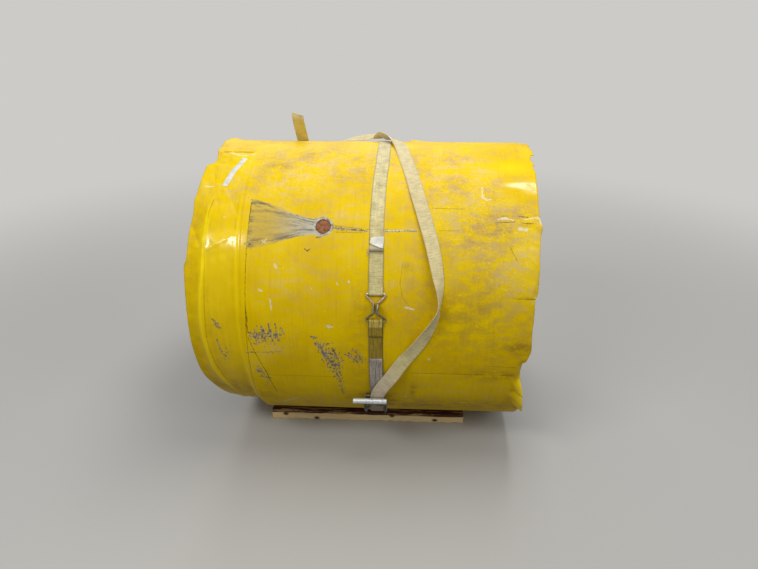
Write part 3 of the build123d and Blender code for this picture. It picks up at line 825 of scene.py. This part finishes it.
def end_strip(long_side, short_side, long_x, short_x, order):
    """Triangles that close a narrow strip between a fine row of points and a coarse one."""
    faces = []
    at = 0
    for i in range(len(long_side) - 1):
        while at + 1 < len(short_side) and short_x[at + 1] <= long_x[i] + 1e-9:
            faces.append([short_side[at], short_side[at + 1], long_side[i]][::order])
            at += 1
        faces.append([long_side[i], short_side[at], long_side[i + 1]][::order])
    while at + 1 < len(short_side):
        faces.append([short_side[at], short_side[at + 1], long_side[-1]][::order])
        at += 1
    return faces


# Dust, grime, gloss and so on, on the wrap: (x, angle, reach in mm, reach in degrees, strength)
DUST = [
    (760, 42, 190, 20, 0.75), (870, 58, 90, 16, 0.6), (690, 22, 150, 14, 0.6), (300, 17, 300, 14, 0.75),
    (110, 14, 150, 13, 0.4), (850, 82, 120, 14, 0.15), (720, 114, 260, 9, 0.15), (300, 45, 160, 10, 0.3),
    (75, 93, 60, 4, 0.45), (20, 100, 30, 6, 0.3), (-95, 97, 34, 8, 0.3), (180, 68, 120, 8, 0.25),
    (-60, 34, 60, 9, 0.35), (400, 130, 600, 8, 0.5), (90, 34, 110, 9, 0.35), (790, 300, 300, 40, 0.5),
    (200, 290, 350, 50, 0.5), (450, 350, 400, 14, 0.5), (500, 235, 400, 25, 0.3), (540, 70, 60, 14, 0.25),
    (885, 20, 75, 4.6, -0.8), (905, 33, 60, 4, -0.8), (-90, 75, 70, 22, -0.8),
]
GRIME = [
    (915, 91.5, 48, 3, 0.6), (566, 114.5, 12, 5, 0.6), (75, 21, 45, 1.6, 0.5), (380, 88, 30, 30, 0.25),
    (850, 104, 110, 3, 0.5), (720, 127, 300, 6, 0.5), (-60, 122, 120, 5, 0.4), (470, 120, 40, 12, 0.3),
    (860, 50, 60, 7, 0.15), (300, 250, 200, 12, 0.4), (800, 270, 100, 10, 0.4), (537, 62.5, 16, 2, 0.35),
    (927, 46.4, 26, 0.9, 0.6), (740, 80, 200, 16, 0.4), (760, 48, 170, 14, 0.22), (300, 12, 260, 5, 0.15),
]
GLOSS = [
    (958, 31.2, 36, 2.4, 1.4), (905, 29.8, 46, 1.3, 1.1), (925, 56.5, 50, 2.4, 0.8),
    (-45, 53.5, 50, 3.2, 0.75), (-128, 55, 20, 3, 0.7), (-165, 33, 24, 4, 0.8), (-100, 90, 90, 40, 0.3),
    (948, 112, 18, 7, 0.7),
]
WEAR = [
    (70, 87, 66, 3.2, 1.05), (28, 90, 30, 3.5, 0.9), (100, 90, 40, 3, 0.7), (232, 90, 20, 3, 0.95),
    (256, 94, 26, 4, 1.1), (282, 99, 30, 5.5, 1.2), (300, 105, 22, 6, 1.1), (312, 113, 16, 6, 0.9),
    (322, 122, 12, 5, 0.8), (281, 84, 17, 1.8, 0.95), (345, 96, 34, 5, 0.85), (385, 98, 22, 5, 0.85),
    (24, 104, 26, 4, 1.1), (50, 111, 18, 5, 1), (-106, 84.5, 18, 2.4, 1.2), (-88, 98, 28, 7, 0.95),
    (70, 95.5, 60, 1.2, 0.8), (12, 39.5, 18, 2, 1.1), (12, 55.2, 18, 2, 1.1), (150, 76, 130, 7, 0.4),
    (600, 84, 200, 20, 0.3), (800, 46, 110, 9, 0.45),
]
# Clean bright paint, and painted highlight on the torn tongue near (948, 113)
FRESH_PAINT_AND_HIGHLIGHT = [(885, 20, 70, 4.6, 0.45), (948, 113, 22, 8, 1), (-60, 20, 60, 8, 0.4), (-100, 62, 60, 16, 0.3)]


def dirt_and_shading_zones(x, angle):
    """Two vectors for each place on the sheet: dust, dirt with painted shade, and gloss, and then wear, and
    clean paint with painted highlight.
    """
    layers = []
    for spots in (DUST, GRIME, GLOSS, WEAR, FRESH_PAINT_AND_HIGHLIGHT):
        total = np.zeros_like(x)
        for centre_x, centre_angle, reach_x, reach_angle, strength in spots:
            total += strength * hill(x, angle, centre_x, centre_angle, reach_x, reach_angle)
        layers.append(total)
    layers[0] += 0.13 - 0.08 * window(angle, 75, 180, 20)
    on_lip = ease((angle - 36) / 12) * ease((132 - angle) / 12)
    past_fold = -x - follow(FOLD_PLACE, angle)
    # Painted shade on the lip beyond the fold
    layers[1] += 0.16 * on_lip * ease(past_fold / 16) + 0.12 * on_lip * bell((past_fold + 22) / 14)
    # Painted highlight along the fold's ridge and along the bead
    layers[4] += on_lip * 0.7 * bell((past_fold - 1) / 9)
    layers[4] += on_lip * 0.4 * bell((-x - follow(BEAD_PLACE, angle)) / 4)
    dust, grime_and_shade, gloss, wear, fresh_and_highlight = (np.clip(layer, 0, 1.2) for layer in layers)
    zones = np.stack([np.clip(dust, 0, 0.8), np.clip(grime_and_shade, 0, 1), gloss], -1).reshape(-1, 3)
    return zones, np.stack([wear, np.clip(fresh_and_highlight, 0, 1), 0 * wear], -1).reshape(-1, 3)


def make_coil(material):
    """The steel coil: a spiral of strip, whose turns stand a little in and out at both ends, and its bore."""
    # Thickness of the strip in mm, its turns, and the points on each turn
    strip, turns, steps = 2, 117, 150
    draw = np.random.default_rng(31)
    turn = np.arange(turns * steps + 1) / steps
    total = len(turn)
    inner = BORE_RADIUS + (COIL_RADIUS - BORE_RADIUS - strip - 2 * GAP) * turn / turns
    jog = np.interp(turn, np.arange(turns + 2), draw.normal(0, 0.35, turns + 2))
    sway = 0.9 * ripple(turn, 0 * turn, 16, 32) + 0.35 * ripple(turn, 0 * turn, 5, 33)
    rows = np.arange(4 * total).reshape(4, total)
    vertices, marks = [], []
    for end, way in ((0, -1), (COIL_WIDTH, 1)):
        off = end + way * (np.clip(sway + jog, -2.2, 1.6) - 1)
        for radius, phase in ((inner, 0), (inner + strip * 0.97, 1)):
            vertices.append(on_drum(off, turn * 360, radius - DRUM_RADIUS))
            marks.append(np.stack([np.full(total, phase), turn, np.ones(total)], -1))
    faces = band(rows[1], rows[0]) + band(rows[0, steps:], rows[1, :-steps])
    faces += band(rows[2], rows[3]) + band(rows[3, :-steps], rows[2, steps:])
    faces += band(rows[2, :steps + 1], rows[0, :steps + 1]) + band(rows[1, -steps - 1:], rows[3, -steps - 1:])
    return finished_mesh("coil_turns", np.concatenate(vertices), faces, material, turn=np.concatenate(marks))


def smooth_path(points, steps):
    """A smooth curve through rows of numbers, with each stretch divided into steps."""
    points = np.asarray(points, float)
    padded = np.concatenate([points[:1], points, points[-1:]])
    share = (np.arange(steps) / steps)[:, None]
    pieces = []
    for before, start, end, after in zip(padded, padded[1:], padded[2:], padded[3:]):
        bend = 2 * before - 5 * start + 4 * end - after
        swing = 3 * (start - end) + after - before
        pieces.append(start + share * (end - before + share * (bend + share * swing)) / 2)
    return np.concatenate([*pieces, points[-1:]])


def unit(vectors):
    return vectors / np.linalg.norm(vectors, axis=-1, keepdims=True)


# Half of the webbing's section from edge to edge: (share of the half width, share of the half thickness)
SECTION = [
    (-1, 0), (-0.985, 0.62), (-0.95, 0.95), (-0.8, 1), (-0.5, 0.92), (-0.2, 1), (0.2, 1), (0.5, 0.92),
    (0.8, 1), (0.95, 0.95), (0.985, 0.62),
]


def ribbon(name, centres, across, material, seed, width=STRAP_WIDTH, thickness=STRAP_THICKNESS):
    """Webbing along a line of centres. across are the directions of its width, one for each centre."""
    along = unit(np.gradient(centres, axis=0))
    across = unit(across - along * (across * along).sum(1)[:, None])
    normal = np.cross(across, along)
    run = np.concatenate([[0], np.cumsum(np.linalg.norm(np.diff(centres, axis=0), axis=1))]) / MM
    top = np.array(SECTION)
    section = np.concatenate([top, -top])
    u, h = section[:, 0], section[:, 1]
    sway = 0.25 * ripple(run, 0 * run, 90, seed)
    curl = 0.35 * ripple(run, 0 * run, 60, seed + 1)
    side = (u[None] * width / 2 + sway[:, None]) * MM
    up = (h[None] * thickness / 2 + curl[:, None] * (u[None] ** 2) * np.sign(u)[None] * 0.5) * MM
    points = centres[:, None] + across[:, None] * side[..., None] + normal[:, None] * up[..., None]
    index = np.arange(points.size // 3).reshape(points.shape[:2])
    faces = band(index, np.roll(index, -1, 1)) + [index[0].tolist(), index[-1, ::-1].tolist()]
    marks = np.stack(np.broadcast_arrays(u[None] * width / 2 + width / 2, run[:, None], h[None]), -1)
    return finished_mesh(name, points.reshape(-1, 3), faces, material, strap=marks.reshape(-1, 3))


def round_bar(angle, lift, radius, turns, x):
    """Points round a bar, by turns in degrees from outwards (0) towards larger angles on the drum (90)."""
    turns = np.radians(turns)[:, None]
    spokes = np.cos(turns) * radial(angle) + np.sin(turns) * radial(angle + 90)
    return on_drum(x, angle, lift) + spokes * np.reshape(radius, (-1, 1)) * MM


# The long strap's middle over the top of the drum: (angle, x)
STRAP_COURSE = [
    (-60, 434), (-30, 438), (-12, 442), (4, 443), (19, 441), (32, 435), (45, 432), (60, 433), (72, 434),
]


def make_long_strap(material):
    """The long strap: its sewn end, round the hook's bar, over the top and round the drum to the spool."""
    down = np.arange(SEWN_END, 69.3, 0.8)
    up = np.arange(69.2, LEAVE_ANGLE - 360, -0.9)
    turns = np.arange(180, 436, 17)
    radii = WINDING - STRAP_THICKNESS * ease((turns - 350) / 50)
    wound = round_bar(SPOOL_ANGLE, SPOOL_LIFT, radii, turns, STRAP_X)
    leave = on_drum(STRAP_X, LEAVE_ANGLE - 360, UNDER_LAYER)
    centres = np.concatenate([
        on_drum(follow(STRAP_COURSE, down), down, OVER_LAYER + 0.6 * np.exp(-(down - SEWN_END) / 0.6)),
        round_bar(UPPER_BAR, BAR_LIFT, HOOK_TURN, np.linspace(-8, 188, 10), follow(STRAP_COURSE, UPPER_BAR)),
        on_drum(follow(STRAP_COURSE, up), up, UNDER_LAYER + 0.6 * window(up, -28, 20, 4)),
        leave + np.linspace(0.12, 0.88, 6)[:, None] * (wound[0] - leave),
        wound,
    ])
    return ribbon("long_strap_webbing", centres, np.repeat([[-1, 0, 0]], len(centres), 0), material, 41)


# Loose tail: its angle on the drum, its x, how far its lower edge is off the wrap, and its roll in degrees
TAIL_ROUTE = [
    (123.8, 434, 29, 0), (121, 434, 22.2, 0), (117, 435, 18.5, -4), (113.6, 442, 14, -10), (110, 456, 9, -16),
    (105, 484, 6, -16), (99, 519, 3, -6), (92.5, 562, 1.5, 10), (86, 600, 1.5, 30), (80.5, 626, 1.5, 55),
    (76, 640, 1.5, 78), (71, 642, 1.5, 62), (65, 634, 1.5, 36), (57, 619, 1.5, 18), (47, 595, 1.5, 8),
    (36, 567, 1.5, 4), (25, 543, 1.5, 0), (14, 520, 1.5, 0), (4, 502, 3, 6), (-4, 474, 6, 24),
    (-10, 432, 7, 40), (-12, 410, 12, 8), (-14, 384, 5, -30), (-16.5, 334, 1.5, -32), (-20, 280, 2.5, -22),
    (-27, 240, 2, -12), (-38, 207, 1.5, 4), (-50, 178, 1.5, 26), (-60, 150, 1.5, 60), (-64, 122, 1.5, 80),
    (-60, 100, 1.5, 60), (-52, 88, 1.5, 25), (-43, 86, 1.5, 5), (-34, 87, 8, 0), (-25, 89, 25, 0),
    (-17, 93, 48, -6), (-10.5, 98, 74, -14), (-8, 100, 96, -18),
]


def make_tail(material):
    """The loose tail: off the spool, up the front with a twist, over the top, and back over the left end."""
    angle, x, spare, roll = smooth_path(TAIL_ROUTE, 9).T
    roll = np.radians(roll)
    lift = spare + (STRAP_WIDTH * np.abs(np.sin(roll)) + STRAP_THICKNESS * np.cos(roll)) / 2
    centres = on_drum(x, angle, lift)
    along = unit(np.gradient(centres, axis=0))
    side = unit(np.cross(along, radial(angle)))
    face = np.cross(side, along)
    across = np.cos(roll)[:, None] * side - np.sin(roll)[:, None] * face
    wound = round_bar(SPOOL_ANGLE, SPOOL_LIFT, WINDING, np.arange(520, 359, -16), STRAP_X)
    centres = np.concatenate([wound, centres[3:]])
    across = np.concatenate([np.repeat([[1, 0, 0]], len(wound), 0), across[3:]])
    return ribbon("loose_tail", centres, across, material, 51)


def make_short_strap(material):
    """The short strap: its hem, round the lower hook's bar, down and round the bolt, and back up, doubled."""
    centres = np.concatenate([
        on_drum(STRAP_X, np.arange(87.4, 83.4, -0.8), OVER_LAYER),
        round_bar(LOWER_BAR, BAR_LIFT, HOOK_TURN, np.linspace(8, -188, 10), STRAP_X),
        on_drum(STRAP_X, np.arange(83.2, 115.2, 0.8), UNDER_LAYER),
        round_bar(BOLT_ANGLE, BOLT_LIFT, BOLT_TURN, np.linspace(172, -8, 10), STRAP_X),
        on_drum(STRAP_X, np.arange(115, 96, -0.8), OVER_LAYER),
    ])
    return ribbon("short_strap_webbing", centres, np.repeat([[1, 0, 0]], len(centres), 0), material, 61)


def box_grid(low, high, counts):
    """The points and quads of a box's surface, divided evenly."""
    steps = np.array(counts) - 1
    ticks = np.moveaxis(np.indices(counts), 0, -1)
    surface = ((ticks == 0) | (ticks == steps)).any(-1)
    number = np.cumsum(surface).reshape(counts) - 1
    faces = []
    for axis in range(3):
        for end, turned in ((0, axis != 1), (-1, axis == 1)):
            side = np.take(number, end, axis)
            faces += band(side[:, 1:], side[:, :-1]) if turned else band(side[:, :-1], side[:, 1:])
    return low + ticks[surface] / steps * (high - low), faces


def make_timber(node, counts, material, seed, dent=False):
    """A sawn timber in place of its CAD node, with worn edges and chips. A dent makes room for the strap."""
    low, high = (np.array(corner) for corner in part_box(node))
    points, faces = box_grid(low, high, counts)
    middle, half = (low + high) / 2, (high - low) / 2
    off = points - middle
    edge = (half - np.abs(off)) / MM
    x, y, z = points.T / MM
    on_edge = np.exp(-(edge[:, 1] / 3) ** 2 - (edge[:, 2] / 3) ** 2)
    chips = 1.2 + 1.6 * np.clip(ripple(x, y + z, 40, seed), 0, 2) + 0.8 * ripple(x, y * 2 + z, 12, seed + 1)
    inward = -np.sign(off) * (np.abs(off) / half > 0.6)
    shift = inward * np.clip(on_edge * chips, 0, 6)[:, None] * (0, 0.7, 0.7)
    sides = 0.35 * ripple(x, y * 3, 30, seed + 2) - 0.35
    ends = 0.8 * ripple(y, z, 9, seed + 3) - 0.9
    shift[:, 1] += np.where(edge[:, 1] < 0.01, sides * np.sign(off[:, 1]), 0)
    shift[:, 0] += np.where(edge[:, 0] < 0.01, ends * np.sign(off[:, 0]), 0)
    shift[:, 2] += np.where(z > high[2] / MM - 0.01, np.clip(sides, -0.7, 0), 0)
    points = points + shift * MM
    if dent:
        spokes = points[:, 1:] - (0, AXIS_HEIGHT)
        far = np.linalg.norm(spokes, axis=1)
        room = (DRUM_RADIUS + STRAP_THICKNESS + 2 * GAP) * MM
        under_strap = (np.abs(x - (LEFT_END / MM + STRAP_X)) < STRAP_WIDTH / 2 + 5) & (far < room)
        points[under_strap, 1:] = (0, AXIS_HEIGHT) + spokes[under_strap] * (room / far[under_strap])[:, None]
    return finished_mesh(node + "_timber", points, faces, material, smooth=False)


def patch(name, spot, rows, columns, wall, material):
    """A thin closed sheet over the drum. spot(down, across) gives x, angle and lift at shares from 0 to 1."""
    down, across = np.meshgrid(np.linspace(0, 1, rows + 1), np.linspace(0, 1, columns + 1), indexing="ij")
    x, angle, lift = spot(down, across)
    points = np.concatenate([on_drum(x, angle, off).reshape(-1, 3) for off in (lift, lift - wall)])
    top = np.arange(x.size).reshape(x.shape)
    under = top + x.size
    rim = np.concatenate([top[0], top[1:, -1], top[-1, -2::-1], top[-2::-1, 0]])
    faces = band(top[:-1].T, top[1:].T) + band(under[1:].T, under[:-1].T) + band(rim + x.size, rim)
    return finished_mesh(name, points, faces, material)


def label_spot(down, across):
    """The blank paper strip on the overhang, lying on the sheet's folds."""
    x = -100 + 46 * down + 19 * (across - 0.5)
    angle = 31.6 - 15.4 * down + 6.2 * (across - 0.5) / DEGREE
    bubble = 0.5 * np.clip(np.sin(down * 21) * np.sin(across * 6 + 1), 0, 1)
    return x, angle, wrap_lift(x, angle) + 0.8 + bubble


def tag_spot(down, across):
    """The torn scrap of the tag: cut on the slant below, and curling off the webbing."""
    top = 51.8 + 0.5 * (1 - across) ** 2 + 0.12 * np.sin(across * 17)
    bottom = 54 + 2.5 * across ** 0.8 - 0.5 * across ** 8
    angle = top + (bottom - top) * down
    step = 2.9 * ease((angle - 54.6) / 0.5)
    curl = 1.6 * np.sin(down * 3) * (0.6 + 0.4 * np.sin(across * 5 + 1)) + 1.6 * down ** 3
    curl += 0.4 * np.sin(across * 9)
    return 411 + 45 * across + 1.2 * np.sin(down * 5), angle, 3.4 + step + curl


def make_threads(starts, ends, sag, radius, material, seed):
    """Loose threads, each a thin bent rod from one (x, angle, lift) to another."""
    sides, steps = 5, 10
    draw = np.random.default_rng(seed)
    share = np.linspace(0, 1, steps)[:, None]
    bow = sag * np.sin(share[:, 0] * 3.1)
    turns = np.arange(sides) * 2 * np.pi / sides
    points, faces = [], []
    for start, end in zip(starts, ends):
        line = np.array(start) * (1 - share) + np.array(end) * share
        line[:, 0] += bow * draw.uniform(-1, 1)
        line[:, 2] += bow * draw.uniform(0, 0.6)
        centres = on_drum(*line.T)
        along = unit(np.gradient(centres, axis=0))
        side = unit(np.cross(along, (0.3, 0.8, 0.5)))
        up = np.cross(side, along)
        spokes = np.multiply.outer(np.cos(turns), side) + np.multiply.outer(np.sin(turns), up)
        rows = len(points) + np.arange(sides * steps).reshape(sides, steps).T
        points.extend((centres + spokes * radius * MM).reshape(-1, 3).tolist())
        faces += band(rows, np.roll(rows, -1, 1)) + [rows[0].tolist(), rows[-1, ::-1].tolist()]
    return finished_mesh("loose_threads", points, faces, material)


# Lamps: name, place, size along x and y in metres, watts and tint
LAMPS = [
    ("overhead", (0.6, -0.1, 3.4), 2.6, 0.8, 41, (1, 1, 0.95)),
    ("front_left", (-1.4, -2.4, 3.2), 1.5, 0.7, 41, (1, 0.99, 0.97)),
    ("front_right", (2.6, -2.6, 2.6), 1.6, 1.2, 22, (0.97, 0.98, 1)),
    ("back", (-0.6, 3.2, 2.8), 2.4, 1.4, 40, (1, 0.99, 0.97)),
]
FLOOR_SIZE = 40


def make_stage():
    """The floor, the lamps and the light of the room."""
    corners = [(x * FLOOR_SIZE, y * FLOOR_SIZE, 0) for x, y in ((-1, -1), (1, -1), (1, 1), (-1, 1))]
    finished_mesh("floor", corners, [(0, 1, 2, 3)], plain_floor(), smooth=False)
    for name, place, size_x, size_y, power, tint in LAMPS:
        lamp = bpy.data.lights.new(name, "AREA")
        lamp.shape, lamp.size, lamp.size_y, lamp.energy, lamp.color = "RECTANGLE", size_x, size_y, power, tint
        seat = bpy.data.objects.new(name, lamp)
        seat.location = place
        way = Vector((0, 0, AXIS_HEIGHT)) - seat.location
        seat.rotation_euler = way.to_track_quat("-Z", "Y").to_euler()
        bpy.context.scene.collection.objects.link(seat)
    world = bpy.data.worlds.new("room")
    world.use_nodes = True
    n = Nodes(world.node_tree)
    sky = world.node_tree.nodes["Background"]
    seen = n.seen()
    n.put(sky.inputs["Color"], n.mix(seen, (214, 216, 220), BACKDROP))
    n.put(sky.inputs["Strength"], seen * 0.5 + 0.5)
    bpy.context.scene.world = world


def make_fittings():
    """Gives the hooks and the ratchet, which are the CAD's own solids, their plating."""
    nodes = frame["nodes"]
    grip = nodes["ratchet_handle"].matrix_world.inverted() @ Vector(on_drum(0, GRIP_ANGLE, GRIP_LIFT))
    steel = zinc("grip_zinc", (150, 144, 130), (92, 86, 74), 0.3, tuple(grip))
    dull = zinc("dull_zinc", (132, 124, 108), (78, 72, 62), 0.4)
    tan = zinc("tan_zinc", (214, 190, 164), (166, 140, 116), 0.3)
    green = zinc("green_zinc", (164, 160, 130), (104, 100, 78), 0.3)
    for name, material in (("upper_hook", tan), ("lower_hook", green), ("ratchet_frame", dull),
                           ("ratchet_handle", steel), ("release_lever", steel), ("ratchet_spool", dull),
                           ("strap_bolt", dull)):
        nodes[name].data.materials.clear()
        nodes[name].data.materials.append(material)


def make_fray():
    """Loose threads at the torn tag's left edge."""
    draw = np.random.default_rng(17)
    starts = [(411 + draw.uniform(-1, 2), 56 + draw.uniform(-0.6, 0.9), 4.5) for _ in range(14)]
    ends = [(x - draw.uniform(4, 14), angle + draw.uniform(-0.6, 3.2), 2.5) for x, angle, _ in starts]
    fray = Finish("fray", Base_Color=(232, 206, 160), Roughness=0.8).material
    return make_threads(starts, ends, 3, 0.45, fray, 18)


def main():
    bpy.context.scene.view_settings.view_transform = "Standard"
    place_camera()
    make_stage()
    make_fittings()
    dress(make_wrap(stroke_group()), "wrap_paint", "outer_wrap")
    dress(make_coil(bare_steel()), "steel", "steel_coil")
    dress(make_long_strap(webbing("long_webbing", LONG_TONES)), "webbing", "long_strap")
    tail = webbing("tail_webbing", TAIL_TONES, TAIL_BACK, streaky=0.08, banded=0.32, edges=0.1, dirt=0.2)
    dress(make_tail(tail), "webbing", "long_strap")
    short = webbing("short_webbing", SHORT_TONES, streaky=0.65, edges=0.95, dirt=0.2)
    dress(make_short_strap(short), "webbing", "short_strap")
    dress(patch("label_paper", label_spot, 40, 8, 0.3, paper()), "label", "label_strip")
    dress(patch("torn_tag", tag_spot, 12, 16, 0.5, paper()), "label", "strap_tag")
    dress(make_fray(), "webbing", "long_strap")
    wood = timber()
    for name in ("front_runner", "rear_runner"):
        dress(make_timber(name, (150, 14, 9), wood, 85, dent=True), "timber", name)
    for i, name in enumerate(("left_cross_board", "middle_cross_board", "right_cross_board")):
        dress(make_timber(name, (16, 40, 5), wood, 81 + 5 * i), "timber", name)


main()
